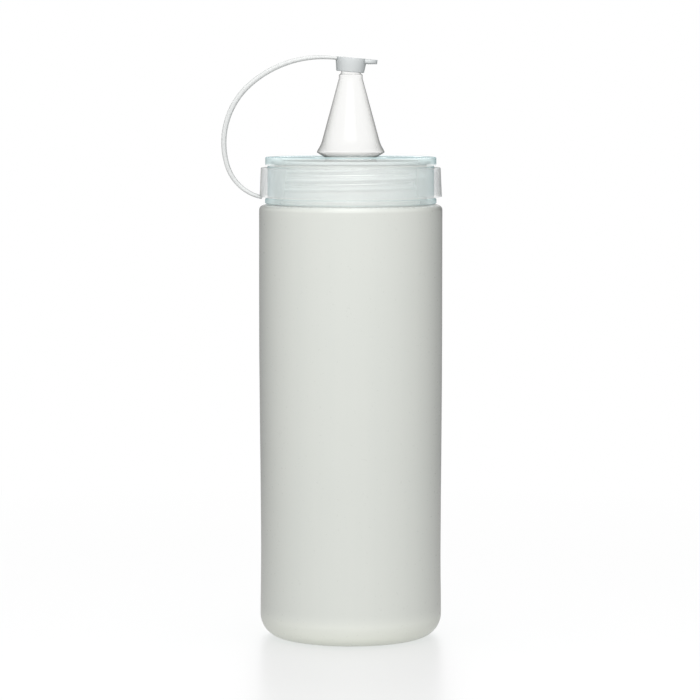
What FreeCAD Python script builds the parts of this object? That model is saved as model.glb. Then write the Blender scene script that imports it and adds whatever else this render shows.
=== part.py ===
import FreeCAD, Part
import math
import os

# A squeeze sauce bottle with a wide screw lid, a clear cone nozzle and a tip cap on a tethered strap.
#
# The frame: +Z is up along the bottle's axis, and the origin is the centre of the plane the foot rests on.
# The strap and the ring's root lie in the XZ plane, on the -X side; the tip cap's pull tab points to +X.
# All lengths are in millimetres and all angles in degrees.

Vector = FreeCAD.Vector
UP = Vector(0, 0, 1)

# ---- driving dimensions ----

# how far a cutting shape runs past what it cuts
CUT_OVERRUN = 1.0

# bottle body
BODY_RADIUS = 36.0
WAIST_RADIUS = 35.5
WAIST_Z = 34.0
STRAIGHT_FROM_Z = 125.0
HEEL_TOP_RADIUS = 35.75
HEEL_ROUNDING = 8.8
FOOT_INNER_RADIUS = 22.5
PUSH_UP = 3.0
PUSH_UP_HALFWAY = 2.25
WALL = 0.9
BASE_WALL = 1.2
SHOULDER_Z = 171.0
SHOULDER_ROUNDING = 2.2

# neck finish and its thread
NECK_RADIUS = 30.05
NECK_BORE = 28.3
NECK_TOP_Z = 187.0
NECK_FILLET = 0.6
THREAD_PITCH = 3.5
THREAD_DEPTH = 1.2
THREAD_ROOT_WIDTH = 1.9
THREAD_CREST_WIDTH = 0.8
THREAD_EMBED = 0.4
NECK_THREAD_Z = 175.3
NECK_THREAD_TURNS = 2.8
LID_THREAD_TURNS = 3.1

# screw lid: crown, barrel and lower bead, with the ring's groove between them
LID_TOP_Z = 189.7
LID_BOTTOM_Z = 171.4
LID_PLATE = 1.4
LID_BORE = 31.6
BARREL_RADIUS = 32.75
CROWN_RADIUS = 33.65
CROWN_HEIGHT = 3.4
CROWN_ROUNDING = 0.5
BEAD_RADIUS = 33.75
BEAD_HEIGHT = 2.3
NOZZLE_HOLE_RADIUS = 10.0

# seal washer between the neck's rim and the lid's plate
SEAL_INNER_RADIUS = 27.6
SEAL_OUTER_RADIUS = 31.3
SEAL_GAP = 0.05

# nozzle
SPIGOT_RADIUS = 9.95
SPIGOT_BORE = 8.8
SNAP_RADIUS = 10.6
SNAP_DEPTH = 0.9
SNAP_GAP = 0.1
SEAT_RADIUS = 10.4
BELL_RADIUS = 13.3
BELL_Z = 191.7
BELL_EDGE = 0.4
BELL_EDGE_FROM = -60.0
BELL_EDGE_TO = 30.0
BELL_FLARE_DIRECTION = (-0.5, 1.0)
CONE_FOOT_RADIUS = 11.2
CONE_FOOT_Z = 196.3
COLLAR_RADIUS = 4.65
COLLAR_Z = 220.5
COLLAR_HEIGHT = 1.5
TIP_FOOT_RADIUS = 4.0
TIP_RADIUS = 2.5
TIP_Z = 226.2
NOZZLE_WALL = 1.05
OUTLET_RADIUS = 1.5
OUTLET_LENGTH = 2.0

# tether ring, free to turn in the lid's groove
RING_BOTTOM_Z = 173.9
RING_TOP_Z = 185.6
RING_TOP_RADIUS = 35.35
RING_BOTTOM_RADIUS = 35.85
RING_BORE = 32.85
RING_WALL = 0.95
RING_TOP_LIP = 1.9
RING_BOTTOM_LIP = 1.0

# strap: three tangent arcs from the ring's lower edge, up and over to the tip cap
STRAP_START_X = -35.5
STRAP_START_Z = 174.0
STRAP_START_HEADING = 166.5
STRAP_ARCS = [(18.0, 59.0), (30.5, 66.5), (42.7, 46.5)]
STRAP_WIDTH = 4.5
STRAP_THICKNESS = 1.6
STRAP_EDGE = 0.5
STRAP_END_OVERRUN = 1.9
LOWER_HINGE_HEADING = 82.0
UPPER_HINGE_HEADING = 37.0
HINGE_GAP = 0.15

# tip cap
CAP_BOTTOM_Z = 223.0
CAP_TOP_Z = 228.6
CAP_RADIUS = 6.0
CAP_DRAFT = 0.5
CAP_PLATE = 1.7
CAP_EDGE = 0.3
SOCKET_MOUTH_RADIUS = 4.6
SOCKET_TOP_RADIUS = 2.75
PLUG_ROOT_RADIUS = 1.1
PLUG_TIP_RADIUS = 0.6
PLUG_LENGTH = 1.1
TAB_REACH = 10.3
TAB_WIDTH = 7.0
TAB_THICKNESS = 2.0
TAB_END_THICKNESS = 1.7
CAP_TILT = 5.0
CAP_TILT_Z = 226.0


# ---- outlines ----


class Outline:
    """A chain of lines, arcs and curves in the XZ plane, ending in a face or a solid of revolution."""

    def __init__(self, x, z):
        self.start = Vector(x, 0, z)
        self.here = self.start
        self.edges = []

    def line(self, x, z):
        end = Vector(x, 0, z)
        if self.here.distanceToPoint(end) > 1e-6:
            self.edges.append(Part.makeLine(self.here, end))
            self.here = end
        return self

    def round(self, centre_x, centre_z, radius, from_deg, to_deg):
        """A line to the arc's first point, then the arc about its centre."""

        def at(deg):
            turn = math.radians(deg)
            return Vector(centre_x + radius * math.cos(turn), 0, centre_z + radius * math.sin(turn))

        first, middle, last = at(from_deg), at((from_deg + to_deg) / 2), at(to_deg)
        self.line(first.x, first.z)
        self.edges.append(Part.Arc(first, middle, last).toShape())
        self.here = last
        return self

    def arc_through(self, mid_x, mid_z, x, z):
        end = Vector(x, 0, z)
        self.edges.append(Part.Arc(self.here, Vector(mid_x, 0, mid_z), end).toShape())
        self.here = end
        return self

    def curve(self, points, start_direction, end_direction):
        """A smooth curve through the points, leaving and arriving along the given (x, z) directions."""
        through = [self.here] + [Vector(x, 0, z) for x, z in points]
        spline = Part.BSplineCurve()
        spline.interpolate(
            Points=through,
            InitialTangent=Vector(start_direction[0], 0, start_direction[1]),
            FinalTangent=Vector(end_direction[0], 0, end_direction[1]),
        )
        self.edges.append(spline.toShape())
        self.here = through[-1]
        return self

    def face(self):
        self.line(self.start.x, self.start.z)
        return Part.Face(Part.Wire(self.edges))

    def revolved(self):
        return self.face().revolve(Vector(0, 0, 0), UP, 360)


def rounded_box_end(reach, width, low_z, high_z):
    """A flat tab from the axis to reach along +X, with a half-round end."""
    half = width / 2
    straight = reach - half
    corners = [Vector(0, -half, low_z), Vector(straight, -half, low_z)]
    far_corners = [Vector(straight, half, low_z), Vector(0, half, low_z)]
    edges = [
        Part.makeLine(corners[0], corners[1]),
        Part.Arc(corners[1], Vector(reach, 0, low_z), far_corners[0]).toShape(),
        Part.makeLine(far_corners[0], far_corners[1]),
        Part.makeLine(far_corners[1], corners[0]),
    ]
    return Part.Face(Part.Wire(edges)).extrude(Vector(0, 0, high_z - low_z))


# ---- threads ----


def thread_ridge(root_radius, crest_radius, start_z, turns):
    """A right-handed trapezoidal ridge that starts on the +X side and stands on a wall at root_radius."""
    outward = 1 if crest_radius > root_radius else -1
    buried = root_radius - outward * THREAD_EMBED
    flare = (THREAD_ROOT_WIDTH - THREAD_CREST_WIDTH) / 2 / THREAD_DEPTH * THREAD_EMBED
    half_buried = THREAD_ROOT_WIDTH / 2 + flare
    half_crest = THREAD_CREST_WIDTH / 2
    corners = [
        Vector(buried, 0, start_z - half_buried),
        Vector(crest_radius, 0, start_z - half_crest),
        Vector(crest_radius, 0, start_z + half_crest),
        Vector(buried, 0, start_z + half_buried),
    ]
    section = Part.makePolygon(corners + corners[:1])
    helix = Part.makeHelix(THREAD_PITCH, THREAD_PITCH * turns, root_radius)
    helix.translate(Vector(0, 0, start_z))
    return Part.Wire(helix.Edges).makePipeShell([section], True, True)


# ---- pieces ----


def bottle_outside():
    heel_x = HEEL_TOP_RADIUS - HEEL_ROUNDING
    body_side = [(WAIST_RADIUS, WAIST_Z), (BODY_RADIUS, STRAIGHT_FROM_Z)]
    outline = Outline(0, PUSH_UP)
    outline.arc_through(FOOT_INNER_RADIUS / 2, PUSH_UP_HALFWAY, FOOT_INNER_RADIUS, 0)
    outline.round(heel_x, HEEL_ROUNDING, HEEL_ROUNDING, -90, 0)
    outline.curve(body_side, (0, 1), (0, 1))
    corner_z = SHOULDER_Z - SHOULDER_ROUNDING
    outline.round(BODY_RADIUS - SHOULDER_ROUNDING, corner_z, SHOULDER_ROUNDING, 0, 90)
    outline.round(NECK_RADIUS + NECK_FILLET, SHOULDER_Z + NECK_FILLET, NECK_FILLET, 270, 180)
    outline.line(NECK_RADIUS, NECK_TOP_Z)
    outline.line(0, NECK_TOP_Z)
    return outline.revolved()


def bottle_inside():
    heel_x = HEEL_TOP_RADIUS - HEEL_ROUNDING
    heel_rounding = HEEL_ROUNDING - WALL
    heel_z = BASE_WALL + heel_rounding
    body_side = [(WAIST_RADIUS - WALL, WAIST_Z), (BODY_RADIUS - WALL, STRAIGHT_FROM_Z)]
    above_neck = NECK_TOP_Z + CUT_OVERRUN
    outline = Outline(0, PUSH_UP + BASE_WALL)
    mid_z = PUSH_UP_HALFWAY + BASE_WALL
    outline.arc_through(FOOT_INNER_RADIUS / 2, mid_z, FOOT_INNER_RADIUS, BASE_WALL)
    outline.round(heel_x, heel_z, heel_rounding, -90, 0)
    outline.curve(body_side, (0, 1), (0, 1))
    corner_rounding = SHOULDER_ROUNDING - WALL
    corner_z = SHOULDER_Z - SHOULDER_ROUNDING
    outline.round(BODY_RADIUS - SHOULDER_ROUNDING, corner_z, corner_rounding, 0, 90)
    outline.line(NECK_BORE, SHOULDER_Z - WALL)
    outline.line(NECK_BORE, above_neck)
    outline.line(0, above_neck)
    return outline.revolved()


def bottle_body():
    thread = thread_ridge(NECK_RADIUS, NECK_RADIUS + THREAD_DEPTH, NECK_THREAD_Z, NECK_THREAD_TURNS)
    return bottle_outside().fuse(thread).cut(bottle_inside())


def seal_washer():
    low = NECK_TOP_Z + SEAL_GAP
    high = LID_TOP_Z - LID_PLATE - SEAL_GAP
    outline = Outline(SEAL_INNER_RADIUS, low)
    outline.line(SEAL_OUTER_RADIUS, low)
    outline.line(SEAL_OUTER_RADIUS, high)
    outline.line(SEAL_INNER_RADIUS, high)
    return outline.revolved()


def screw_lid():
    plate_z = LID_TOP_Z - LID_PLATE
    crown_z = LID_TOP_Z - CROWN_HEIGHT
    bead_z = LID_BOTTOM_Z + BEAD_HEIGHT
    bead_lead = BEAD_RADIUS - BARREL_RADIUS
    outline = Outline(NOZZLE_HOLE_RADIUS, plate_z)
    outline.line(LID_BORE, plate_z)
    outline.line(LID_BORE, LID_BOTTOM_Z)
    outline.line(BEAD_RADIUS - CROWN_ROUNDING, LID_BOTTOM_Z)
    outline.line(BEAD_RADIUS, LID_BOTTOM_Z + CROWN_ROUNDING)
    outline.line(BEAD_RADIUS, bead_z - bead_lead)
    outline.line(BARREL_RADIUS, bead_z)
    outline.line(BARREL_RADIUS, crown_z)
    outline.line(CROWN_RADIUS, crown_z)
    outline.round(CROWN_RADIUS - CROWN_ROUNDING, LID_TOP_Z - CROWN_ROUNDING, CROWN_ROUNDING, 0, 90)
    outline.line(NOZZLE_HOLE_RADIUS, LID_TOP_Z)
    crest = LID_BORE - THREAD_DEPTH
    start_z = NECK_THREAD_Z - THREAD_PITCH / 2
    return outline.revolved().fuse(thread_ridge(LID_BORE, crest, start_z, LID_THREAD_TURNS))


def nozzle():
    under_plate = LID_TOP_Z - LID_PLATE - SNAP_GAP
    seat_z = LID_TOP_Z + SEAL_GAP
    snap_z = under_plate - SNAP_DEPTH
    snap_lead = SNAP_RADIUS - SPIGOT_RADIUS
    cone_slope = (COLLAR_RADIUS - CONE_FOOT_RADIUS, COLLAR_Z - CONE_FOOT_Z)
    collar_top = COLLAR_Z + COLLAR_HEIGHT
    outline = Outline(SPIGOT_BORE, snap_z)
    outline.line(SPIGOT_RADIUS, snap_z)
    outline.line(SNAP_RADIUS, snap_z + snap_lead)
    outline.line(SNAP_RADIUS, under_plate)
    outline.line(SPIGOT_RADIUS, under_plate)
    outline.line(SPIGOT_RADIUS, seat_z)
    outline.line(SEAT_RADIUS, seat_z)
    outline.round(BELL_RADIUS - BELL_EDGE, BELL_Z, BELL_EDGE, BELL_EDGE_FROM, BELL_EDGE_TO)
    outline.curve([(CONE_FOOT_RADIUS, CONE_FOOT_Z)], BELL_FLARE_DIRECTION, cone_slope)
    outline.line(COLLAR_RADIUS, COLLAR_Z)
    outline.line(COLLAR_RADIUS, collar_top)
    outline.line(TIP_FOOT_RADIUS, collar_top + COLLAR_RADIUS - TIP_FOOT_RADIUS)
    outline.line(TIP_RADIUS, TIP_Z)
    outline.line(OUTLET_RADIUS, TIP_Z)
    outline.line(OUTLET_RADIUS, TIP_Z - OUTLET_LENGTH)
    outline.line(COLLAR_RADIUS - NOZZLE_WALL, COLLAR_Z)
    outline.line(CONE_FOOT_RADIUS - NOZZLE_WALL, CONE_FOOT_Z)
    outline.line(SPIGOT_BORE, seat_z)
    return outline.revolved()


def tether_ring():
    """A thin flared band with a thick upper lip and a small lower lip that keep it in the lid's groove."""
    slope = (RING_BOTTOM_RADIUS - RING_TOP_RADIUS) / (RING_TOP_Z - RING_BOTTOM_Z)
    top_lip_z = RING_TOP_Z - RING_TOP_LIP
    bottom_lip_z = RING_BOTTOM_Z + RING_BOTTOM_LIP

    def outside_at(z):
        return RING_BOTTOM_RADIUS - slope * (z - RING_BOTTOM_Z)

    outline = Outline(RING_BORE, RING_BOTTOM_Z)
    outline.line(RING_BOTTOM_RADIUS, RING_BOTTOM_Z)
    outline.line(RING_TOP_RADIUS, RING_TOP_Z)
    outline.line(RING_BORE, RING_TOP_Z)
    outline.line(RING_BORE, top_lip_z)
    outline.line(outside_at(top_lip_z) - RING_WALL, top_lip_z)
    outline.line(outside_at(bottom_lip_z) - RING_WALL, bottom_lip_z)
    outline.line(RING_BORE, bottom_lip_z)
    return outline.revolved()


# ---- strap ----


def strap_arcs():
    """Each arc as (centre x, centre z, radius, first heading, last heading); the strap turns clockwise."""
    x, z, heading = STRAP_START_X, STRAP_START_Z, STRAP_START_HEADING
    arcs = []
    for radius, turn in STRAP_ARCS:
        first, last = math.radians(heading), math.radians(heading - turn)
        centre_x = x + radius * math.sin(first)
        centre_z = z - radius * math.cos(first)
        arcs.append((centre_x, centre_z, radius, heading, heading - turn))
        x = centre_x - radius * math.sin(last)
        z = centre_z + radius * math.cos(last)
        heading -= turn
    return arcs


def strap_point(heading):
    """The point of the strap's middle line, (x, z), where it runs along this heading."""
    for centre_x, centre_z, radius, first, last in strap_arcs():
        if last <= heading <= first:
            turn = math.radians(heading)
            return centre_x - radius * math.sin(turn), centre_z + radius * math.cos(turn)
    raise ValueError(heading)


def strap_plate(from_heading, to_heading):
    """The strap between two headings, as curved plates in a row with rounded long edges."""
    half_width = STRAP_WIDTH / 2
    half_thick = STRAP_THICKNESS / 2
    plates = []
    for centre_x, centre_z, radius, first, last in strap_arcs():
        high, low = min(first, from_heading), max(last, to_heading)
        if high <= low:
            continue
        inner, outer = radius - half_thick, radius + half_thick
        outline = Outline(*arc_end(centre_x, centre_z, inner, high))
        outline.round(centre_x, centre_z, inner, high + 90, low + 90)
        outline.round(centre_x, centre_z, outer, low + 90, high + 90)
        plate = outline.face()
        plate.translate(Vector(0, -half_width, 0))
        plates.append(plate.extrude(Vector(0, STRAP_WIDTH, 0)))
    joined = plates[0].fuse(plates[1:]).removeSplitter() if len(plates) > 1 else plates[0]
    long_edges = [e for e in joined.Edges if is_long_edge(e)]
    return joined.makeFillet(STRAP_EDGE, long_edges)


def arc_end(centre_x, centre_z, radius, heading):
    turn = math.radians(heading)
    return centre_x - radius * math.sin(turn), centre_z + radius * math.cos(turn)


def is_long_edge(edge):
    """True for the curved edges along the strap's two sides."""
    return edge.Curve.TypeId == "Part::GeomCircle" and edge.Length > STRAP_THICKNESS * 2


def knuckle(heading, radius):
    """A short roller across the strap, on its middle line."""
    x, z = strap_point(heading)
    base = Vector(x, -STRAP_WIDTH / 2, z)
    return Part.makeCylinder(radius, STRAP_WIDTH, base, Vector(0, 1, 0))


def relief(heading):
    """Room for the next link's knuckle, cut square across the strap's end."""
    x, z = strap_point(heading)
    reach = STRAP_THICKNESS / 2 + HINGE_GAP
    turn = math.radians(heading)
    box = Part.makeBox(2 * reach, 2 * STRAP_WIDTH, 4 * reach)
    box.translate(Vector(-reach, -STRAP_WIDTH, -2 * reach))
    box.rotate(Vector(0, 0, 0), Vector(0, 1, 0), -math.degrees(turn))
    box.translate(Vector(x, 0, z))
    return box


def strap_link(from_heading, to_heading, starts_on_knuckle, ends_at_knuckle):
    link = strap_plate(from_heading, to_heading)
    if starts_on_knuckle:
        link = link.fuse(knuckle(from_heading, STRAP_THICKNESS / 2)).removeSplitter()
    if ends_at_knuckle:
        link = link.cut(relief(to_heading))
    return link


def strap_lower(ring):
    link = strap_link(STRAP_START_HEADING, LOWER_HINGE_HEADING, False, True)
    barrel = Part.makeCylinder(RING_TOP_RADIUS, LID_TOP_Z, Vector(0, 0, 0), UP)
    return link.cut(ring).cut(barrel)


def strap_middle():
    return strap_link(LOWER_HINGE_HEADING, UPPER_HINGE_HEADING, True, True)


def strap_upper(cap):
    end_heading = strap_arcs()[-1][4]
    link = strap_link(UPPER_HINGE_HEADING, end_heading, True, False)
    x, z = strap_point(end_heading)
    turn = math.radians(end_heading)
    stub = Part.makeBox(STRAP_END_OVERRUN, STRAP_WIDTH, STRAP_THICKNESS)
    stub.translate(Vector(0, -STRAP_WIDTH / 2, -STRAP_THICKNESS / 2))
    stub.rotate(Vector(0, 0, 0), Vector(0, 1, 0), -math.degrees(turn))
    stub.translate(Vector(x, 0, z))
    return link.fuse(stub).removeSplitter().cut(cap)


# ---- tip cap ----


def tip_cap():
    """A cup with a conical socket and a plug pin, under a plate that runs on as a pull tab."""
    plate_z = CAP_TOP_Z - CAP_PLATE
    mouth_radius = CAP_RADIUS - CAP_DRAFT
    cup = Outline(SOCKET_MOUTH_RADIUS, CAP_BOTTOM_Z)
    cup.line(mouth_radius - CAP_EDGE, CAP_BOTTOM_Z)
    cup.round(mouth_radius - CAP_EDGE, CAP_BOTTOM_Z + CAP_EDGE, CAP_EDGE, -90, 0)
    cup.line(CAP_RADIUS, plate_z)
    cup.round(CAP_RADIUS - CAP_EDGE, CAP_TOP_Z - CAP_EDGE, CAP_EDGE, 0, 90)
    cup.line(0, CAP_TOP_Z)
    cup.line(0, plate_z - PLUG_LENGTH)
    cup.line(PLUG_TIP_RADIUS, plate_z - PLUG_LENGTH)
    cup.line(PLUG_ROOT_RADIUS, plate_z)
    cup.line(SOCKET_TOP_RADIUS, plate_z)
    cap = cup.revolved().fuse(pull_tab()).removeSplitter()
    cap.rotate(Vector(0, 0, CAP_TILT_Z), Vector(0, 1, 0), CAP_TILT)
    return cap


def pull_tab():
    """The tab runs out from the cup's wall, flush with its top, and thins a little to its rounded end."""
    under_z = CAP_TOP_Z - TAB_THICKNESS
    tab = rounded_box_end(TAB_REACH, TAB_WIDTH, under_z, CAP_TOP_Z)
    outline = Outline(CAP_RADIUS, under_z)
    outline.line(TAB_REACH + CUT_OVERRUN, CAP_TOP_Z - TAB_END_THICKNESS)
    outline.line(TAB_REACH + CUT_OVERRUN, under_z - CUT_OVERRUN)
    outline.line(CAP_RADIUS, under_z - CUT_OVERRUN)
    wedge = outline.face()
    wedge.translate(Vector(0, -TAB_WIDTH, 0))
    core = Part.makeCylinder(SOCKET_MOUTH_RADIUS, TAB_THICKNESS, Vector(0, 0, under_z))
    return tab.cut(wedge.extrude(Vector(0, 2 * TAB_WIDTH, 0))).cut(core)


# ---- the assembly ----


def main():
    os.makedirs("parts", exist_ok=True)
    ring = tether_ring()
    cap = tip_cap()
    pieces = {
        "bottle_body": bottle_body(),
        "seal_washer": seal_washer(),
        "screw_lid": screw_lid(),
        "nozzle": nozzle(),
        "tether_ring": ring,
        "tether_strap_lower": strap_lower(ring),
        "tether_strap_middle": strap_middle(),
        "tether_strap_upper": strap_upper(cap),
        "tip_cap": cap,
    }
    for name, shape in pieces.items():
        solids = shape.Solids
        whole = solids[0] if len(solids) == 1 else shape
        print(name, "solids", len(solids), "valid", whole.isValid(), "volume", round(whole.Volume, 1))
        whole.exportStep("parts/" + name + ".step")
    for label, heading in (("lower", LOWER_HINGE_HEADING), ("upper", UPPER_HINGE_HEADING)):
        x, z = strap_point(heading)
        print(label, "hinge at x", round(x, 3), "z", round(z, 3))


main()
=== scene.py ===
import math

import bmesh
import bpy
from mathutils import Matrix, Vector

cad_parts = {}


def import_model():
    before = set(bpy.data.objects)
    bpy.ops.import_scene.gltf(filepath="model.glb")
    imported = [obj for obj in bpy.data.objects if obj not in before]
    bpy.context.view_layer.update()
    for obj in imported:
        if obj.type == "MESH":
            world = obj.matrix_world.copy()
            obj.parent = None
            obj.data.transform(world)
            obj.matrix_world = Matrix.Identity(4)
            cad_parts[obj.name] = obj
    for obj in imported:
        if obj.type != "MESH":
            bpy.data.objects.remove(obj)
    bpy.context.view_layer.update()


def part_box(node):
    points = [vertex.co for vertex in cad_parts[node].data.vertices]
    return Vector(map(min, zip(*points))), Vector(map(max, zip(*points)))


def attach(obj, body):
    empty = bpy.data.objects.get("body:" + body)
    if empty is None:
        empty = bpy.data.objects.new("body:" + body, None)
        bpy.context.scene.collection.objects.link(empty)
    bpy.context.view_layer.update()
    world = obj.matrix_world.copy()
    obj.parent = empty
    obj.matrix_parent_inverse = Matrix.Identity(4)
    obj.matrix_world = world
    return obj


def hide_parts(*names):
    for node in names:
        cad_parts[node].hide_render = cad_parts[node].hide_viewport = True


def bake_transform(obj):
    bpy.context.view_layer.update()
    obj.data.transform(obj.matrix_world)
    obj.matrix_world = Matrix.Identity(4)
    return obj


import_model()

# A milky squeeze bottle for sauce, with a bluish screw lid, a clear cone nozzle and a tip cap on a tether.
# Lengths here are in millimetres, and meshes are scaled to metres when they are made.
# Outlines are (r, z) pairs about the bottle's axis, and headings are in degrees in the XZ plane.

MM = 0.001
TAU = 2 * math.pi
SIDES = 240
SHARP_ANGLE = math.radians(38)


def box_mm(node):
    low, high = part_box(node)
    return low / MM, high / MM


# ---- sizes read from the CAD frame ----

BODY_HIGH = box_mm("bottle_body")[1]
LID_LOW, LID_HIGH = box_mm("screw_lid")
SEAL_LOW, SEAL_HIGH = box_mm("seal_washer")
NOZZLE_HIGH = box_mm("nozzle")[1]
RING_LOW, RING_HIGH = box_mm("tether_ring")

BODY_R = BODY_HIGH.x
NECK_TOP = BODY_HIGH.z
LID_TOP = LID_HIGH.z
LID_BOTTOM = LID_LOW.z
BEAD_R = LID_HIGH.x

# ---- sizes of the moulded details ----

WALL = 0.9
SHOULDER_Z = 171.0
SHOULDER_ROUND = 2.2
HEEL_R = 35.75
HEEL_ROUND = 8.8
WAIST_R = 35.5
WAIST_Z = 34.0
STRAIGHT_Z = 125.0
FOOT_INNER = 22.5
PUSH_UP = 3.0
NECK_R = 30.05
NECK_BORE = 28.3
PITCH = 3.5
THREAD_DEPTH = 1.2
THREAD_ROOT = 2.4
THREAD_CREST = 0.3
NECK_THREAD_START = 175.3
NECK_THREAD_TURNS = 2.8
LID_THREAD_TURNS = 3.1
THREAD_FADE = 0.12
THREAD_ROW = 0.14

LID_PLATE = 1.4
LID_BORE = 31.6
BARREL_R = 32.75
CROWN_R = 33.65
CROWN_Z = 186.3
BEAD_TOP = 173.7
NOZZLE_HOLE = 10.0

SEAT_Z = LID_TOP + 0.05
CONE_FOOT = (11.2, 196.3)
COLLAR_R = 4.65
COLLAR_Z = 220.5
TIP_FOOT_R = 4.0
TIP_R = 2.5
NOZZLE_WALL = 1.05
OUTLET_R = 1.5

RING_TOP_R = 35.35
RING_BORE = 32.85
RING_WALL = 0.95

STRAP_START = (-35.5, 174.0)
STRAP_HEADING = 166.5
STRAP_ARCS = ((18.0, 59.0), (30.5, 66.5), (42.7, 46.5))
STRAP_JOIN_HEADING = 59.5

CAP_BOTTOM = 223.0
CAP_TOP = 228.6
CAP_R = 6.0
CAP_MOUTH_R = 5.5
CAP_PLATE = 1.7
CAP_TILT = math.radians(5)
CAP_TILT_Z = 226.0
TAB_REACH = 10.3
TAB_WIDTH = 7.0
TAB_THICK = 2.0
TAB_END_THICK = 1.7
GRIP_FROM = 6.6
GRIP_TO = 9.75
GRIP_PITCH = 0.9
GRIP_DEPTH = 0.10


# ---- mesh building ----


class Outline:
    """A chain of (r, z) points, with round stretches laid as arcs and curves.

    Points added while inside is set are on the piece's inner wall or in the corner of a groove.
    """

    def __init__(self, r, z, inside=False):
        self.points = []
        self.walls = []
        self.inside = inside
        self.add(r, z)

    def add(self, r, z):
        self.points.append((r, z))
        self.walls.append(1.0 if self.inside else 0.0)

    def line(self, r, z, steps=1):
        last_r, last_z = self.points[-1]
        for i in range(1, steps + 1):
            t = i / steps
            self.add(last_r + (r - last_r) * t, last_z + (z - last_z) * t)
        return self

    def arc(self, centre_r, centre_z, radius, from_deg, to_deg, steps=6):
        for i in range(steps + 1):
            turn = math.radians(from_deg + (to_deg - from_deg) * i / steps)
            point = (centre_r + radius * math.cos(turn), centre_z + radius * math.sin(turn))
            if math.dist(point, self.points[-1]) > 1e-4:
                self.add(*point)
        return self

    def curve(self, pull_out, pull_in, end, steps=12):
        """A cubic curve from the last point to end, pulled towards two control points."""
        start = self.points[-1]
        for i in range(1, steps + 1):
            t = i / steps
            u = 1 - t
            weights = (u**3, 3 * u * u * t, 3 * u * t * t, t**3)
            corners = (start, pull_out, pull_in, end)
            self.add(*(sum(w * c[k] for w, c in zip(weights, corners)) for k in (0, 1)))
        return self


def make_mesh(name, verts, faces, walls=None):
    """A smooth-shaded object from points in millimetres, with its normals turned outward.

    walls holds 1 for each point inside the piece or in a groove, and is kept as the inner_wall values.
    """
    mesh = bpy.data.meshes.new(name)
    mesh.from_pydata([tuple(c * MM for c in v) for v in verts], [], faces)
    work = bmesh.new()
    work.from_mesh(mesh)
    bmesh.ops.recalc_face_normals(work, faces=work.faces)
    work.to_mesh(mesh)
    work.free()
    mesh.shade_smooth()
    mesh.set_sharp_from_angle(angle=SHARP_ANGLE)
    if walls:
        mesh.attributes.new("inner_wall", "FLOAT", "POINT").data.foreach_set("value", walls)
    piece = bpy.data.objects.new(name, mesh)
    bpy.context.scene.collection.objects.link(piece)
    return piece


def even_angles(sides=SIDES):
    return [TAU * i / sides for i in range(sides)]


def seamed_angles(sides=SIDES, seams=(0.0, math.pi)):
    """Even steps round the axis, with close steps on each side of the mould's parting lines."""
    close = (0.0, 0.12, 0.3, 0.55, 0.9)
    fine = {s + side * math.radians(d) for s in seams for d in close for side in (-1, 1)}
    gap = TAU / sides * 0.8
    even = [a for a in even_angles(sides) if all(abs(math.remainder(a - s, TAU)) > gap for s in seams)]
    return sorted(a % TAU for a in set(even) | fine)


def lathe(name, outline, angles=None, reshape=None, closed=True):
    """The outline turned round the axis. reshape(angle, r, z) may move a point to a new (r, z)."""
    angles = angles or even_angles()
    count = len(angles)
    turns = [(math.cos(a), math.sin(a)) for a in angles]
    verts, faces, rows, walls = [], [], [], []
    for (r, z), wall in zip(outline.points, outline.walls):
        if r < 1e-6:
            rows.append([len(verts)] * count)
            verts.append((0, 0, z))
            walls.append(wall)
            continue
        rows.append(list(range(len(verts), len(verts) + count)))
        walls += [wall] * count
        for angle, (across, deep) in zip(angles, turns):
            rr, zz = reshape(angle, r, z) if reshape else (r, z)
            verts.append((rr * across, rr * deep, zz))
    for low, high in zip(rows, rows[1:] + (rows[:1] if closed else [])):
        for i in range(count):
            j = (i + 1) % count
            corners = list(dict.fromkeys((low[i], low[j], high[j], high[i])))
            if len(corners) > 2:
                faces.append(corners)
    return make_mesh(name, verts, faces, walls)


def smooth_step(t):
    t = min(max(t, 0.0), 1.0)
    return t * t * (3 - 2 * t)


def thread_rise(angle, z, start_z, turns):
    """The right-handed thread's height at a point of its wall, as a share of the thread's depth."""
    along = (angle % TAU) / TAU
    turn = min(max(round((z - start_z) / PITCH - along), 0), math.floor(turns - along))
    t = turn + along
    distance = abs(z - start_z - PITCH * t)
    flank = (THREAD_ROOT / 2 - distance) / (THREAD_ROOT - THREAD_CREST) * 2
    fade = min(t, turns - t) / THREAD_FADE
    return smooth_step(flank) * smooth_step(fade)


# ---- bottle body ----


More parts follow.
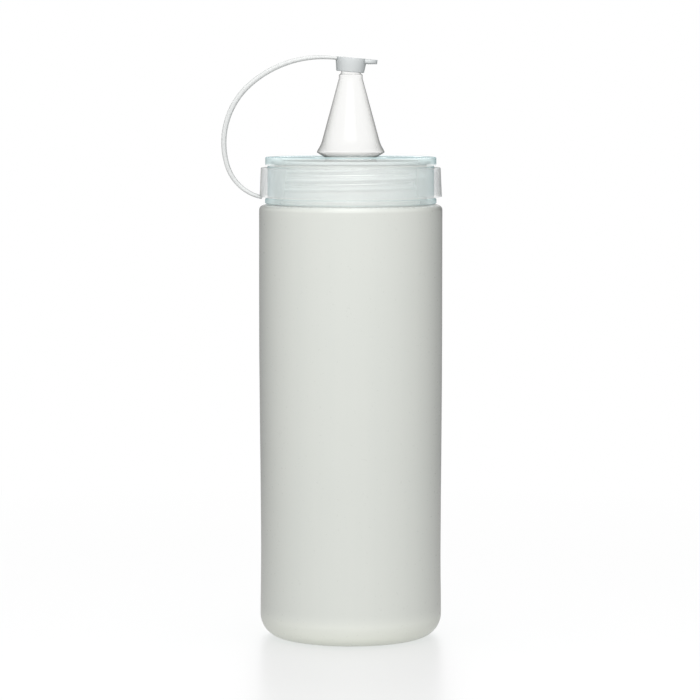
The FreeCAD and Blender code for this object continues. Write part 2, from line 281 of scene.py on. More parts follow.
def body_outline():
    heel_r = HEEL_R - HEEL_ROUND
    corner_z = SHOULDER_Z - SHOULDER_ROUND
    corner_r = BODY_R - SHOULDER_ROUND
    out = Outline(0, PUSH_UP)
    out.curve((9, PUSH_UP), (17, 1.6), (FOOT_INNER - 0.8, 0.25), 16)
    out.curve((FOOT_INNER - 0.5, 0.1), (FOOT_INNER, 0), (FOOT_INNER + 0.4, 0), 4)
    out.line(heel_r, 0, 3)
    out.arc(heel_r, HEEL_ROUND, HEEL_ROUND, -90, 0, 24)
    out.curve((HEEL_R, 16), (WAIST_R, 24), (WAIST_R, WAIST_Z), 10)
    out.curve((WAIST_R, 60), (BODY_R, 95), (BODY_R, STRAIGHT_Z), 28)
    out.line(BODY_R, corner_z, 18)
    out.arc(corner_r, corner_z, SHOULDER_ROUND, 0, 90, 10)
    out.line(NECK_R + 0.6, SHOULDER_Z, 4)
    out.arc(NECK_R + 0.6, SHOULDER_Z + 0.6, 0.6, 270, 180, 5)
    rows = round((NECK_TOP - 0.5 - out.points[-1][1]) / THREAD_ROW)
    out.line(NECK_R, NECK_TOP - 0.5, rows)
    out.arc(NECK_R - 0.5, NECK_TOP - 0.5, 0.5, 0, 90, 5)
    out.arc(NECK_BORE + 0.4, NECK_TOP - 0.4, 0.4, 90, 180, 4)
    out.line(NECK_BORE, SHOULDER_Z, 3)
    out.arc(NECK_BORE + 0.9, SHOULDER_Z, 0.9, 180, 270, 4)
    out.line(corner_r, SHOULDER_Z - WALL, 4)
    out.arc(corner_r, corner_z, SHOULDER_ROUND - WALL, 90, 0, 5)
    out.line(BODY_R - WALL, STRAIGHT_Z, 12)
    out.curve((BODY_R - WALL, 95), (WAIST_R - WALL, 60), (WAIST_R - WALL, WAIST_Z), 20)
    out.curve((WAIST_R - WALL, 24), (HEEL_R - WALL, 16), (HEEL_R - WALL, HEEL_ROUND + 0.3), 8)
    out.arc(heel_r, HEEL_ROUND + 0.3, HEEL_ROUND - WALL, 0, -90, 16)
    out.line(FOOT_INNER + 0.4, 1.2, 3)
    out.curve((17, 2.4), (9, PUSH_UP + 1.2), (0, PUSH_UP + 1.2), 14)
    return out


def seam_share(angle):
    """1 on the mould's parting line, which runs up both sides of the bottle, and 0 away from it."""
    off = abs(math.remainder(angle, math.pi))
    return 1 - smooth_step(math.degrees(off) / 0.55)


def blown_shape(angle, r, z):
    """The blown wall's slow waves, its parting line, and the thread on the neck's outside."""
    if z > SHOULDER_Z:
        if r > NECK_R - 0.2:
            rise = thread_rise(angle, z, NECK_THREAD_START, NECK_THREAD_TURNS)
            return r + THREAD_DEPTH * rise, z
        return r, z
    swell = math.sin(math.pi * min(max(z / SHOULDER_Z, 0), 1))
    wave = 0.10 * math.sin(2 * angle + 0.6) + 0.05 * math.sin(3 * angle + z / 31)
    ripple = 0.018 * math.sin(7 * angle + z / 11) * math.sin(z / 7.5)
    outside = r > FOOT_INNER and z < SHOULDER_Z - WALL * 0.5
    ridge = 0.07 * seam_share(angle) if outside else 0.0
    return r + (wave + ripple) * swell + ridge, z


def pinch_off(piece):
    """The line where the mould pinched the tube shut, standing across the pushed-up base along X."""
    reach = FOOT_INNER - 1.5
    for vertex in piece.data.vertices:
        x, y, z = (c / MM for c in vertex.co)
        if z < PUSH_UP + 0.05 and abs(x) < reach:
            across = 1 - smooth_step(abs(y) / 0.9)
            fade = 1 - smooth_step((abs(x) - reach + 6) / 6)
            vertex.co.z -= 0.35 * across * fade * MM


def bottle_body():
    piece = lathe("bottle_shell", body_outline(), seamed_angles(), blown_shape)
    pinch_off(piece)
    return piece


# ---- lid and seal ----


def lid_outline():
    under = LID_TOP - LID_PLATE
    out = Outline(NOZZLE_HOLE, under + 0.15, inside=True)
    out.arc(NOZZLE_HOLE + 0.15, under + 0.15, 0.15, 180, 270, 2)
    out.line(LID_BORE - 0.2, under, 8)
    out.arc(LID_BORE - 0.2, under - 0.2, 0.2, 90, 0, 4)
    rows = round((under - 0.2 - LID_BOTTOM - 0.3) / THREAD_ROW)
    out.line(LID_BORE, LID_BOTTOM + 0.3, rows)
    out.arc(LID_BORE + 0.3, LID_BOTTOM + 0.3, 0.3, 180, 270, 3)
    out.inside = False
    out.arc(BEAD_R - 0.55, LID_BOTTOM + 0.55, 0.55, 270, 360, 6)
    out.arc(BEAD_R - 0.7, BEAD_TOP - 0.8, 0.7, 0, 75, 6)
    out.inside = True
    out.arc(BARREL_R + 0.3, BEAD_TOP + 0.25, 0.3, 255, 180, 4)
    out.inside = False
    out.line(BARREL_R, CROWN_Z - 0.2, 16)
    out.inside = True
    out.arc(BARREL_R + 0.2, CROWN_Z - 0.2, 0.2, 180, 90, 3)
    out.arc(CROWN_R - 0.2, CROWN_Z + 0.2, 0.2, -90, 0, 3)
    out.inside = False
    out.line(CROWN_R, LID_TOP - 0.55, 4)
    out.arc(CROWN_R - 0.55, LID_TOP - 0.55, 0.55, 0, 90, 7)
    out.line(30.6, LID_TOP, 2)
    out.curve((30.2, LID_TOP), (30.3, LID_TOP - 0.25), (29.9, LID_TOP - 0.25), 5)
    out.line(15.2, LID_TOP - 0.25, 8)
    out.curve((14.8, LID_TOP - 0.25), (14.9, LID_TOP), (14.5, LID_TOP), 5)
    out.line(NOZZLE_HOLE + 0.2, LID_TOP, 3)
    out.arc(NOZZLE_HOLE + 0.2, LID_TOP - 0.2, 0.2, 90, 180, 2)
    return out


def lid_shape(angle, r, z):
    """The lid's own thread, which stands inward from its bore."""
    if abs(r - LID_BORE) > 0.01 or z > SEAL_LOW.z:
        return r, z
    start_z = NECK_THREAD_START - PITCH / 2
    return r - THREAD_DEPTH * thread_rise(angle, z, start_z, LID_THREAD_TURNS), z


def screw_lid():
    return lathe("lid_shell", lid_outline(), reshape=lid_shape)


def seal_washer():
    inner = 27.6
    outer = SEAL_HIGH.x
    low, high = SEAL_LOW.z, SEAL_HIGH.z
    edge = 0.3
    out = Outline(inner, low + edge)
    out.arc(inner + edge, low + edge, edge, 180, 270, 4)
    out.line((inner + outer) / 2 - 0.4, low, 2)
    out.line((inner + outer) / 2, low + 0.12)
    out.line((inner + outer) / 2 + 0.4, low)
    out.arc(outer - edge, low + edge, edge, 270, 360, 4)
    out.arc(outer - edge, high - edge, edge, 0, 90, 4)
    out.arc(inner + edge, high - edge, edge, 90, 180, 4)
    return lathe("seal_ring", out)


# ---- nozzle ----


def nozzle_outline():
    under = LID_TOP - LID_PLATE - 0.1
    foot_r, foot_z = CONE_FOOT
    collar_top = COLLAR_Z + 1.5
    tip_z = NOZZLE_HIGH.z
    bell_r = NOZZLE_HIGH.x
    edge = 0.4
    out = Outline(8.8, under - 0.9)
    out.line(9.95, under - 0.9)
    out.arc(10.3, under - 0.45, 0.3, -60, 60, 4)
    out.line(9.95, under)
    out.line(9.95, SEAT_Z, 2)
    out.line(10.4, SEAT_Z)
    out.arc(bell_r - edge, 191.7, edge, -60, 35, 7)
    out.curve((12.75, 193.0), (11.85, 194.0), CONE_FOOT, 12)
    out.line(COLLAR_R + 0.05, COLLAR_Z - 0.2, 30)
    out.curve((COLLAR_R, COLLAR_Z), (COLLAR_R, COLLAR_Z), (COLLAR_R, COLLAR_Z + 0.3), 4)
    out.line(COLLAR_R, collar_top - 0.25, 2)
    out.arc(COLLAR_R - 0.25, collar_top - 0.25, 0.25, 0, 80, 4)
    out.line(TIP_FOOT_R, collar_top + 0.4)
    out.line(TIP_R + 0.2, tip_z - 0.35, 6)
    out.arc(TIP_R - 0.2, tip_z - 0.3, 0.3, 20, 90, 4)
    out.arc(OUTLET_R + 0.2, tip_z - 0.2, 0.2, 90, 180, 3)
    out.inside = True
    out.line(OUTLET_R, tip_z - 2, 2)
    out.line(COLLAR_R - NOZZLE_WALL, COLLAR_Z, 4)
    out.line(foot_r - NOZZLE_WALL, foot_z, 30)
    out.curve((10.6, 194.2), (10.6, 191.6), (8.8, SEAT_Z), 10)
    return out


def nozzle():
    return lathe("nozzle_cone", nozzle_outline(), even_angles(160))


# ---- tether ring, strap and tip cap ----


def ring_outline():
    low, high = RING_LOW.z, RING_HIGH.z
    lip_z = high - 1.9
    foot_z = low + 1.0
    bottom_r = RING_HIGH.x
    edge = 0.3

    def outside(z):
        return bottom_r + (RING_TOP_R - bottom_r) * (z - low) / (high - low)

    out = Outline(RING_BORE, low + edge, inside=True)
    out.arc(RING_BORE + edge, low + edge, edge, 180, 270, 3)
    out.arc(bottom_r - edge, low + edge, edge, 270, 350, 5)
    out.inside = False
    out.add(bottom_r, low + edge)
    out.line(outside(high - edge), high - edge, 14)
    out.arc(outside(high) - edge, high - edge, edge, 0, 90, 5)
    out.arc(RING_BORE + edge, high - edge, edge, 90, 180, 4)
    out.inside = True
    out.line(RING_BORE, lip_z + edge, 2)
    out.arc(RING_BORE + edge, lip_z + edge, edge, 180, 270, 3)
    out.curve((33.9, lip_z), (34.2, lip_z - 0.4), (outside(lip_z) - RING_WALL, lip_z - 1.2), 6)
    out.line(outside(foot_z) - RING_WALL, foot_z + 0.5, 10)
    out.line(RING_BORE + edge, foot_z, 2)
    out.arc(RING_BORE + edge, foot_z - edge, edge, 90, 180, 3)
    return out


def tether_ring():
    return lathe("tether_band", ring_outline())


def strap_arcs():
    """Each arc as (centre x, centre z, radius, first heading, last heading)."""
    x, z = STRAP_START
    heading = STRAP_HEADING
    arcs = []
    for radius, turn in STRAP_ARCS:
        first, last = math.radians(heading), math.radians(heading - turn)
        cx, cz = x + radius * math.sin(first), z - radius * math.cos(first)
        arcs.append((cx, cz, radius, heading, heading - turn))
        x, z = cx - radius * math.sin(last), cz + radius * math.cos(last)
        heading -= turn
    return arcs


def strap_point(heading):
    """The place on the strap's middle line where it runs along this heading."""
    for cx, cz, radius, first, last in strap_arcs():
        if last <= heading <= first:
            turn = math.radians(heading)
            return cx - radius * math.sin(turn), cz + radius * math.cos(turn)
    raise ValueError(f"the strap has no heading {heading}")


def strap_length_share(heading):
    """How far along the strap this heading lies, from 0 at the ring to 1 at the cap."""
    gone = 0.0
    for _, _, radius, first, last in strap_arcs():
        gone += radius * min(max(first - heading, 0), first - last)
    return gone / sum(radius * turn for radius, turn in STRAP_ARCS)


def strap_size(share):
    """Half width across the band and half thickness, which is greatest along the strap's middle."""
    middle = math.sin(math.pi * min(max(share, 0), 1)) ** 0.7
    root = (1 - smooth_step(share / 0.13)) * 1.6
    head = smooth_step((share - 0.93) / 0.07) * 0.5
    return 2.25 + root + head, 0.68 + 0.36 * middle


def strap_section(x, z, heading, share, points=20):
    """A closed round-cornered section across the strap at one place."""
    half_width, half_thick = strap_size(share)
    turn = math.radians(heading)
    side = (-math.sin(turn), math.cos(turn))
    ring = []
    for i in range(points):
        angle = TAU * i / points
        c, s = math.cos(angle), math.sin(angle)
        across = half_width * math.copysign(abs(c) ** 0.55, c)
        lift = half_thick * math.copysign(abs(s) ** 0.75, s)
        ring.append((x + side[0] * lift, across, z + side[1] * lift))
    return ring


def swept(name, rings, cap_start, cap_end):
    verts = [v for ring in rings for v in ring]
    n = len(rings[0])
    faces = []
    for k in range(len(rings) - 1):
        for i in range(n):
            j = (i + 1) % n
            faces.append((k * n + i, k * n + j, (k + 1) * n + j, (k + 1) * n + i))
    if cap_start:
        faces.append(tuple(range(n)))
    if cap_end:
        faces.append(tuple(range((len(rings) - 1) * n, len(rings) * n)))
    return make_mesh(name, verts, faces)


def strap_piece(name, from_heading, to_heading, steps, lead_in=0.0, run_out=0.0):
    rings = []
    if lead_in:
        x, z = strap_point(from_heading)
        turn = math.radians(from_heading)
        back = (x - lead_in * math.cos(turn), z - lead_in * math.sin(turn))
        rings.append(strap_section(*back, from_heading, strap_length_share(from_heading)))
    for i in range(steps + 1):
        heading = from_heading + (to_heading - from_heading) * i / steps
        rings.append(strap_section(*strap_point(heading), heading, strap_length_share(heading)))
    if run_out:
        x, z = strap_point(to_heading)
        turn = math.radians(to_heading)
        ahead = (x + run_out * math.cos(turn), z + run_out * math.sin(turn))
        rings.append(strap_section(*ahead, to_heading, strap_length_share(to_heading)))
    return swept(name, rings, bool(lead_in), bool(run_out))


def straps():
    end_heading = strap_arcs()[-1][4]
    lower = strap_piece("strap_lower", STRAP_HEADING, STRAP_JOIN_HEADING, 90, lead_in=0.6)
    upper = strap_piece("strap_upper", STRAP_JOIN_HEADING, end_heading, 60, run_out=1.9)
    return lower, upper


def cap_outline():
    plate_z = CAP_TOP - CAP_PLATE
    out = Outline(4.6, CAP_BOTTOM + 0.2)
    out.arc(4.8, CAP_BOTTOM + 0.2, 0.2, 180, 270, 3)
    out.arc(CAP_MOUTH_R - 0.3, CAP_BOTTOM + 0.3, 0.3, 270, 360, 4)
    out.line(CAP_R, plate_z, 4)
    out.line(CAP_R, CAP_TOP - 0.35, 2)
    out.arc(CAP_R - 0.35, CAP_TOP - 0.35, 0.35, 0, 90, 6)
    out.line(3.4, CAP_TOP, 2)
    out.curve((3.1, CAP_TOP), (3.1, CAP_TOP - 0.2), (2.8, CAP_TOP - 0.2), 4)
    out.line(0, CAP_TOP - 0.2, 3)
    out.inside = True
    out.add(0, plate_z - 1.1)
    out.arc(0.3, plate_z - 0.8, 0.3, 270, 350, 3)
    out.line(1.1, plate_z, 2)
    out.line(2.75, plate_z, 2)
    return out


def tilted(piece):
    """The cap sits a little askew, because the strap pulls at its side."""
    c, s = math.cos(CAP_TILT), math.sin(CAP_TILT)
    for vertex in piece.data.vertices:
        x, z = vertex.co.x, vertex.co.z - CAP_TILT_Z * MM
        vertex.co.x = x * c + z * s
        vertex.co.z = -x * s + z * c + CAP_TILT_Z * MM
    return piece


def tab_rows():
    """Stations along the pull tab as (x, half width, bottom z, top z)."""
    half = TAB_WIDTH / 2
    root_x = CAP_R - 0.7
    rows = []
    for i in range(25):
        x = root_x + (TAB_REACH - root_x) * i / 24
        beyond = max(x - (TAB_REACH - half), 0) / half
        width = half * math.sqrt(max(1 - beyond * beyond, 0.0004))
        thick = TAB_THICK + (TAB_END_THICK - TAB_THICK) * smooth_step((x - CAP_R) / (TAB_REACH - CAP_R))
        wave = max(0.0, math.sin((x - GRIP_FROM) * TAU / GRIP_PITCH))
        grip = GRIP_DEPTH * wave if GRIP_FROM < x < GRIP_TO else 0.0
        rows.append((x, width, CAP_TOP - thick - grip, CAP_TOP - 0.03))
    return rows


def pull_tab():
    rings = []
    for x, width, low, high in tab_rows():
        middle, half = (low + high) / 2, (high - low) / 2
        ring = []
        for i in range(24):
            angle = TAU * i / 24
            c, s = math.cos(angle), math.sin(angle)
            y = width * math.copysign(abs(c) ** 0.5, c)
            ring.append((x, y, middle + half * math.copysign(abs(s) ** 0.5, s)))
        rings.append(ring)
    return swept("pull_tab", rings, True, True)


# ---- materials ----


class Shader:
    """A small helper that adds nodes to a material and links them."""

    def __init__(self, name):
        self.material = bpy.data.materials.new(name)
        self.material.use_nodes = True
        self.tree = self.material.node_tree
        self.tree.nodes.clear()
        self.output = self.tree.nodes.new("ShaderNodeOutputMaterial")
        self.place = self.add("ShaderNodeTexCoord").outputs["Object"]

    def add(self, kind, **settings):
        node = self.tree.nodes.new(kind)
        for key, value in settings.items():
            setattr(node, key, value)
        return node

    def feed(self, socket, value):
        if isinstance(value, bpy.types.NodeSocket):
            self.tree.links.new(value, socket)
        elif isinstance(value, tuple) and len(value) == 3 and socket.type == "RGBA":
            socket.default_value = (*value, 1.0)
        else:
            socket.default_value = value

    def maths(self, operation, a, b, clamp=False):
        node = self.add("ShaderNodeMath", operation=operation, use_clamp=clamp)
        self.feed(node.inputs[0], a)
        self.feed(node.inputs[1], b)
        return node.outputs[0]

    def ramp(self, value, low, high, to_low, to_high, kind="LINEAR"):
        node = self.add("ShaderNodeMapRange", interpolation_type=kind)
        names = ("Value", "From Min", "From Max", "To Min", "To Max")
        for name, v in zip(names, (value, low, high, to_low, to_high)):
            self.feed(node.inputs[name], v)
        return node.outputs["Result"]

    def noise(self, scale, detail=2.0, stretch=(1, 1, 1)):
        """Noise over the piece; scale is in ripples per metre, and stretch squeezes it along an axis."""
        mapping = self.add("ShaderNodeMapping")
        self.feed(mapping.inputs["Vector"], self.place)
        mapping.inputs["Scale"].default_value = stretch
        node = self.add("ShaderNodeTexNoise")
        self.feed(node.inputs["Vector"], mapping.outputs[0])
        node.inputs["Scale"].default_value = scale
        node.inputs["Detail"].default_value = detail
        return node.outputs["Fac"]

    def blend_colour(self, share, a, b):
        node = self.add("ShaderNodeMix", data_type="RGBA")
        self.feed(node.inputs["Factor"], share)
        self.feed(node.inputs[6], a)
        self.feed(node.inputs[7], b)
        return node.outputs[2]

    def height(self):
        """The point's height above the floor at rest, in metres."""
        node = self.add("ShaderNodeSeparateXYZ")
        self.feed(node.inputs[0], self.place)
        return node.outputs["Z"]

    def from_axis(self):
        """The point's distance from the bottle's axis, in metres."""
        flat = self.add("ShaderNodeVectorMath", operation="MULTIPLY")
        self.feed(flat.inputs[0], self.place)
        flat.inputs[1].default_value = (1, 1, 0)
        length = self.add("ShaderNodeVectorMath", operation="LENGTH")
        self.feed(length.inputs[0], flat.outputs[0])
        return length.outputs["Value"]

    def mix(self, share, a, b):
        node = self.add("ShaderNodeMixShader")
        self.feed(node.inputs[0], share)
        self.feed(node.inputs[1], a)
        self.feed(node.inputs[2], b)
        return node.outputs[0]

    def edge(self, power):
        """0 where the surface faces the eye, rising to 1 where it turns away."""
        node = self.add("ShaderNodeLayerWeight")
        node.inputs["Blend"].default_value = 0.5
        return self.maths("POWER", node.outputs["Facing"], power)

    def bump(self, height, strength, distance_mm):
        node = self.add("ShaderNodeBump")
        self.feed(node.inputs["Height"], height)
        node.inputs["Strength"].default_value = strength
        node.inputs["Distance"].default_value = distance_mm * MM
        return node.outputs[0]

    def done(self, surface):
        self.tree.links.new(surface, self.output.inputs["Surface"])
        return self.material


def milky_material():
    """Natural polyethylene: light passes but no shape does. Clouds, die lines and a fine orange peel."""
    s = Shader("milky_polyethylene")
    clouds = s.noise(22, 3)
    die_lines = s.noise(260, 2, (1, 1, 0.02))
    peel = s.noise(900, 3)
    tone = s.maths("ADD", s.maths("MULTIPLY", clouds, 0.6), s.maths("MULTIPLY", die_lines, 0.4))
    height = s.height()
    # Painted light: toward the foot the dark limb is painted lighter, standing in for light thrown up by the
    # white floor.
    painted_floor_light = s.ramp(height, 0.0, 0.075, 1.0, 0.0)
    # Painted light: near the floor the heel and its limb are painted lighter and warmer, standing in for
    # light through the thick heel and from the floor.
    painted_heel_light = s.ramp(height, -0.003, 0.014, 1.0, 0.0, "SMOOTHSTEP")
    upper = s.blend_colour(tone, (0.590, 0.612, 0.580), (0.632, 0.642, 0.605))
    centre = s.blend_colour(painted_heel_light, upper, (0.89, 0.905, 0.82))
    # Painted shade: the limb colour is nearly black, so the body darkens where it turns away from the eye.
    limb = s.blend_colour(tone, (0.05, 0.06, 0.05), (0.07, 0.075, 0.065))
    limb = s.blend_colour(painted_floor_light, limb, (0.48, 0.48, 0.45))
    limb = s.blend_colour(painted_heel_light, limb, (0.76, 0.77, 0.72))
    colour = s.blend_colour(s.edge(2.9), centre, limb)
    # Painted light: the shoulder top and the neck are painted much lighter than the body, standing in for
    # light that comes through the plastic there.
    neck = s.ramp(height, 0.1704, 0.1712, 0.0, 1.0)
    colour = s.blend_colour(neck, colour, (0.825, 0.83, 0.815))
    rough = s.maths("SUBTRACT", s.ramp(peel, 0.3, 0.7, 0.27, 0.36), s.maths("MULTIPLY", neck, 0.1))
    relief = s.maths("ADD", s.maths("MULTIPLY", peel, 0.5), s.maths("MULTIPLY", die_lines, 0.5))
    normal = s.bump(relief, 0.2, 0.04)
    skin = s.add("ShaderNodeBsdfPrincipled")
    s.feed(skin.inputs["Base Color"], colour)
    s.feed(skin.inputs["Roughness"], rough)
    s.feed(skin.inputs["Normal"], normal)
    skin.inputs["IOR"].default_value = 1.5
    s.feed(skin.inputs["Specular IOR Level"], s.ramp(neck, 0, 1, 0.5, 1.0))
    glow = s.add("ShaderNodeBsdfTranslucent")
    s.feed(glow.inputs["Color"], colour)
    return s.done(s.mix(0.25, skin.outputs[0], glow.outputs[0]))


def clear_material(
    name,
    tint,
    haze,
    limb_shade,
    closed,
    limb_power,
    rough,
    shine=(0.03, 0.5),
    grain=0.15,
    side=(1, 1, 1),
    crest_highlight=0.0,
):
    """Moulded plastic that lets light through: a haze head on, a darker limb and a soft shine.

    closed is the share of light that the plastic stops and shine is the share that it mirrors.
    Each is a pair, head on and at the limb, and the limb is the outer wall's only. A closed share
    above 1 makes the plastic wholly opaque.
    side is what the plastic's own colour does to light where the wall is seen aslant. The limb colour is
    painted shade, and the crest share is a painted highlight: haze added on the upper turns of the lid's
    inner thread where they face the eye.
    """
    s = Shader(name)
    flow = s.noise(60, 2, (1, 1, 0.5))
    fine = s.noise(500, 2)
    inner = s.add("ShaderNodeAttribute", attribute_name="inner_wall").outputs["Fac"]
    outer = s.maths("SUBTRACT", 1.0, inner)
    limb = s.maths("MULTIPLY", s.edge(limb_power), outer)
    aslant = s.maths("MULTIPLY", s.ramp(s.edge(1.0), 0.0, 0.45, 0.0, 1.0), outer)
    clouded = s.blend_colour(flow, haze, tuple(c * 0.96 for c in haze))
    clouded = s.blend_colour(aslant, clouded, tuple(c * w for c, w in zip(haze, side)))
    passed = s.blend_colour(aslant, tint, tuple(c * w for c, w in zip(tint, side)))
    # Painted shade: the outer wall's colour darkens toward the limb colour where it turns away from the eye.
    colour = s.blend_colour(limb, clouded, limb_shade)
    stopped = s.maths("MULTIPLY", s.ramp(limb, 0, 1, *closed), s.ramp(flow, 0.3, 0.7, 0.9, 1.1), clamp=True)
    # Painted highlight: extra haze on the lid's upper inner thread makes light streaks where it faces the
    # eye.
    if crest_highlight:
        stopped = s.maths("ADD", stopped, s.maths("MULTIPLY", painted_crest_highlight(s), crest_highlight), clamp=True)
    normal = s.bump(s.maths("ADD", flow, s.maths("MULTIPLY", fine, grain)), 0.12, 0.1)
    clear = s.add("ShaderNodeBsdfTransparent")
    s.feed(clear.inputs["Color"], passed)
    matter = s.add("ShaderNodeBsdfDiffuse")
    s.feed(matter.inputs["Color"], colour)
    s.feed(matter.inputs["Normal"], normal)
    glow = s.add("ShaderNodeBsdfTranslucent")
    s.feed(glow.inputs["Color"], colour)
    plastic = s.mix(stopped, clear.outputs[0], s.mix(0.3, matter.outputs[0], glow.outputs[0]))
    gloss = s.add("ShaderNodeBsdfGlossy")
    s.feed(gloss.inputs["Roughness"], s.ramp(fine, 0.3, 0.7, rough * 0.85, rough * 1.2))
    s.feed(gloss.inputs["Normal"], normal)
    mirror = s.maths("MULTIPLY", s.ramp(s.edge(5), 0, 1, *shine), outer)
    return s.done(s.mix(mirror, plastic, gloss.outputs[0]))


def painted_crest_highlight(s):
    """A painted highlight: 1 on each crest of the lid's upper thread turns where it faces the eye, and 0
    elsewhere.
    """
    crest_r = (LID_BORE - THREAD_DEPTH) * MM
    crest = s.ramp(s.from_axis(), crest_r, LID_BORE * MM, 1.0, 0.0, "SMOOTHSTEP")
    upper = s.ramp(s.height(), 0.1770, 0.1785, 0.0, 1.0)
    below_seal = s.ramp(s.height(), 0.1864, 0.1868, 1.0, 0.0)
    facing = s.maths("POWER", s.maths("SUBTRACT", 1.0, s.edge(1.0)), 6.0)
    return s.maths("MULTIPLY", s.maths("MULTIPLY", crest, facing), s.maths("MULTIPLY", upper, below_seal))


def lid_material():
    return clear_material(
        "clear_lid_plastic",
        tint=(1.0, 1.0, 0.998),
        haze=(0.975, 0.975, 0.965),
        # The limb colour below is painted shade.
        limb_shade=(0.14, 0.32, 0.35),
        closed=(0.21, 0.85),
        limb_power=2.4,
        rough=0.12,
        side=(0.93, 0.997, 1.0),
        # The crest share below lays a painted highlight on the lid's inner thread.
        crest_highlight=0.7,
    )


def nozzle_material():
    return clear_material(
        "clear_nozzle_plastic",
        tint=(1.0, 1.0, 0.997),
        haze=(0.35, 0.35, 0.33),
        # The limb colour below is painted shade, dark lines along the cone's edges.
        limb_shade=(0.03, 0.03, 0.027),
        closed=(0.01, 1.0),
        limb_power=2.5,
        rough=0.14,
        shine=(0.012, 0.3),
    )


def ring_material():
    return clear_material(
        "tether_ring_plastic",
        tint=(0.99, 0.992, 0.992),
        haze=(0.90, 0.915, 0.915),
        # The limb colour below is painted shade.
        limb_shade=(0.14, 0.155, 0.155),
        closed=(0.10, 0.85),
        limb_power=2.6,
        rough=0.16,
    )


def strap_material():
    """The ring's plastic is thick enough in the strap to let nothing show through."""
    return clear_material(
        "tether_strap_plastic",
        tint=(0.96, 0.965, 0.965),
        haze=(0.66, 0.67, 0.665),
        # The limb colour below is painted shade.
        limb_shade=(0.52, 0.53, 0.53),
        closed=(1.2, 1.2),
        limb_power=1.8,
        rough=0.3,
        shine=(0.015, 0.06),
        grain=0.0,
    )


def cap_material():
    return clear_material(
        "tip_cap_plastic",
        tint=(0.95, 0.965, 0.97),
        haze=(0.61, 0.63, 0.632),
        # The limb colour below is painted shade.
        limb_shade=(0.33, 0.355, 0.36),
        closed=(1.2, 1.2),
        limb_power=1.2,
        rough=0.25,
        shine=(0.02, 0.12),
    )


def seal_material():
    s = Shader("seal_foam")
    cells = s.noise(1800, 4)
    skin = s.add("ShaderNodeBsdfPrincipled")
    s.feed(skin.inputs["Base Color"], s.blend_colour(cells, (0.40, 0.43, 0.43), (0.46, 0.49, 0.49)))
    s.feed(skin.inputs["Roughness"], s.ramp(cells, 0.3, 0.7, 0.6, 0.8))
    s.feed(skin.inputs["Normal"], s.bump(cells, 0.4, 0.05))
    return s.done(skin.outputs[0])


def dress(piece, material):
    piece.data.materials.clear()
    piece.data.materials.append(material)
    return piece


# ---- assembly ----


def build():
    body = dress(bottle_body(), milky_material())
    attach(body, "bottle")
    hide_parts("bottle_body")
    seal = dress(seal_washer(), seal_material())
    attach(seal, "seal")
    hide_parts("seal_washer")
    lid = dress(screw_lid(), lid_material())
    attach(lid, "lid")
    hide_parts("screw_lid")
    cone = dress(nozzle(), nozzle_material())
    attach(cone, "lid")
    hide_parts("nozzle")
    band = dress(tether_ring(), ring_material())
    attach(band, "tether")
    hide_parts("tether_ring")
    build_strap()
    build_cap()


def build_strap():
    """The strap is drawn as two lengths."""
    plastic = strap_material()
    lower, upper = (dress(piece, plastic) for piece in straps())
    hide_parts("tether_strap_lower", "tether_strap_middle")
    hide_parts("tether_strap_upper")
    strap_place(124)
    strap_place(60)
    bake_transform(lower)
    strap_place(59)
    strap_place(-2)
    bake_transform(upper)


def build_cap():
    plastic = cap_material()
    cup = tilted(lathe("tip_cap_cup", cap_outline(), even_angles(96)))
    for piece in (cup, tilted(pull_tab())):
        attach(dress(piece, plastic), "cap")
    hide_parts("tip_cap")


def strap_place(heading):
    x, z = strap_point(heading)
    return (x * MM, 0.0, z * MM)


# ---- stage, light and camera ----


def floor():
    mesh = bpy.data.meshes.new("floor")
    reach = 6.0
    corners = [(-reach, -reach, 0), (reach, -reach, 0), (reach, reach, 0), (-reach, reach, 0)]
    mesh.from_pydata(corners, [], [(0, 1, 2, 3)])
    stage = bpy.data.objects.new("floor", mesh)
    bpy.context.scene.collection.objects.link(stage)
    s = Shader("floor_white")
    # Painted shadow: the floor's glow dims to grey near the bottle, a soft contact shadow.
    contact_shadow = s.add("ShaderNodeAmbientOcclusion", samples=16)
    contact_shadow.inputs["Distance"].default_value = 0.3
    light = s.add("ShaderNodeEmission")
    s.feed(light.inputs["Color"], s.blend_colour(contact_shadow.outputs["AO"], (0.86, 0.885, 0.875), (1.0, 1.0, 1.0)))
    gloss = s.add("ShaderNodeBsdfGlossy")
    s.feed(gloss.inputs["Roughness"], 0.28)
    away = s.add("ShaderNodeVectorMath", operation="LENGTH")
    s.feed(away.inputs[0], s.place)
    share = s.ramp(away.outputs["Value"], 0.1, 0.5, 0.28, 0.0)
    stage.data.materials.append(s.done(s.mix(share, light.outputs[0], gloss.outputs[0])))


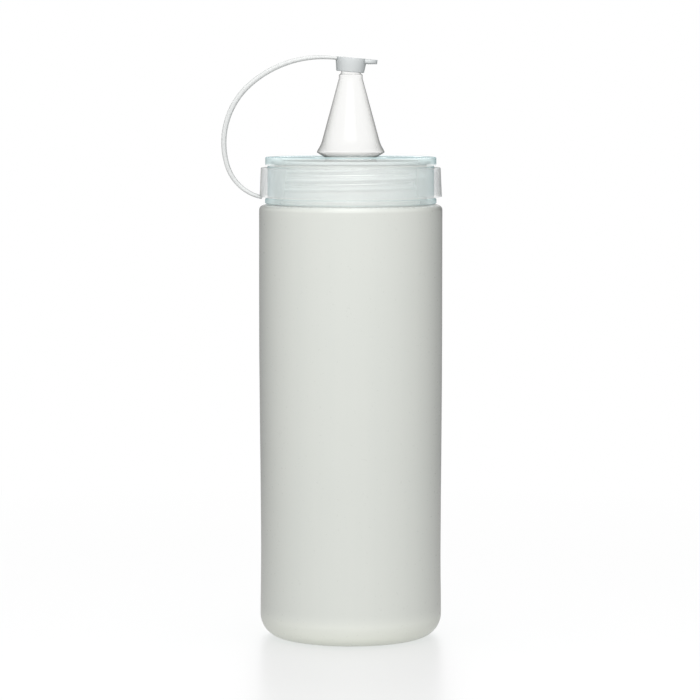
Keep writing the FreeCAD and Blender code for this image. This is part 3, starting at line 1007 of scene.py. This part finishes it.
def world():
    """A white room. Matte surfaces get most light from the camera's side, and clear ones see white behind."""
    scene = bpy.context.scene
    scene.world = bpy.data.worlds.new("studio")
    scene.world.use_nodes = True
    tree = scene.world.node_tree
    tree.nodes.clear()
    new, link = tree.nodes.new, tree.links.new
    coords = new("ShaderNodeTexCoord")
    split = new("ShaderNodeSeparateXYZ")
    link(coords.outputs["Camera"], split.inputs[0])

    def ramp(value, low, high, to_low, to_high):
        node = new("ShaderNodeMapRange")
        link(value, node.inputs["Value"])
        for name, v in zip(("From Min", "From Max", "To Min", "To Max"), (low, high, to_low, to_high)):
            node.inputs[name].default_value = v
        return node.outputs["Result"]

    diffuse_level = ramp(split.outputs["Z"], -1, 0.6, 1.04, 0.28)
    mirror_level = ramp(split.outputs["Z"], -0.3, 0.9, 0.5, 1.0)
    dark_side = ramp(split.outputs["X"], 0.12, 0.4, 1.0, 0.25)
    flagged = new("ShaderNodeMath")
    flagged.operation = "MULTIPLY"
    link(mirror_level, flagged.inputs[0])
    link(dark_side, flagged.inputs[1])
    path = new("ShaderNodeLightPath")
    choose = new("ShaderNodeMix")
    link(path.outputs["Is Diffuse Ray"], choose.inputs["Factor"])
    link(flagged.outputs[0], choose.inputs[2])
    link(diffuse_level, choose.inputs[3])
    final = new("ShaderNodeMix")
    link(path.outputs["Is Camera Ray"], final.inputs["Factor"])
    link(choose.outputs[0], final.inputs[2])
    final.inputs[3].default_value = 1.0
    background = new("ShaderNodeBackground")
    background.inputs["Color"].default_value = (1, 1, 1, 1)
    link(final.outputs[0], background.inputs["Strength"])
    output = new("ShaderNodeOutputWorld")
    link(background.outputs[0], output.inputs[0])


def softbox(name, place, aim, width, height, power):
    data = bpy.data.lights.new(name, "AREA")
    data.shape = "RECTANGLE"
    data.size, data.size_y = width, height
    data.energy = power
    lamp = bpy.data.objects.new(name, data)
    lamp.location = place
    lamp.rotation_euler = (Vector(aim) - Vector(place)).to_track_quat("-Z", "Y").to_euler()
    bpy.context.scene.collection.objects.link(lamp)


def lights():
    softbox("front_softbox", (-0.06, -1.05, 0.72), (0, 0, 0.17), 1.1, 0.35, 9)
    softbox("top_softbox", (0.0, -0.35, 1.25), (0, 0, 0.17), 0.7, 0.35, 8)
    softbox("back_softbox", (0.1, 1.2, 0.85), (0, 0, 0.15), 1.1, 0.4, 6)
    scene = bpy.context.scene
    scene.view_settings.view_transform = "Standard"
    scene.cycles.transparent_max_bounces = 48


def camera():
    data = bpy.data.cameras.new("camera")
    data.sensor_width = 36.0
    data.lens = 169.85
    view = bpy.data.objects.new("camera", data)
    view.location = (-0.0003, -1.3, 0.2159)
    view.rotation_euler = (math.radians(90 - 4.5), 0, 0)
    bpy.context.scene.collection.objects.link(view)
    bpy.context.scene.camera = view


build()
floor()
world()
lights()
camera()
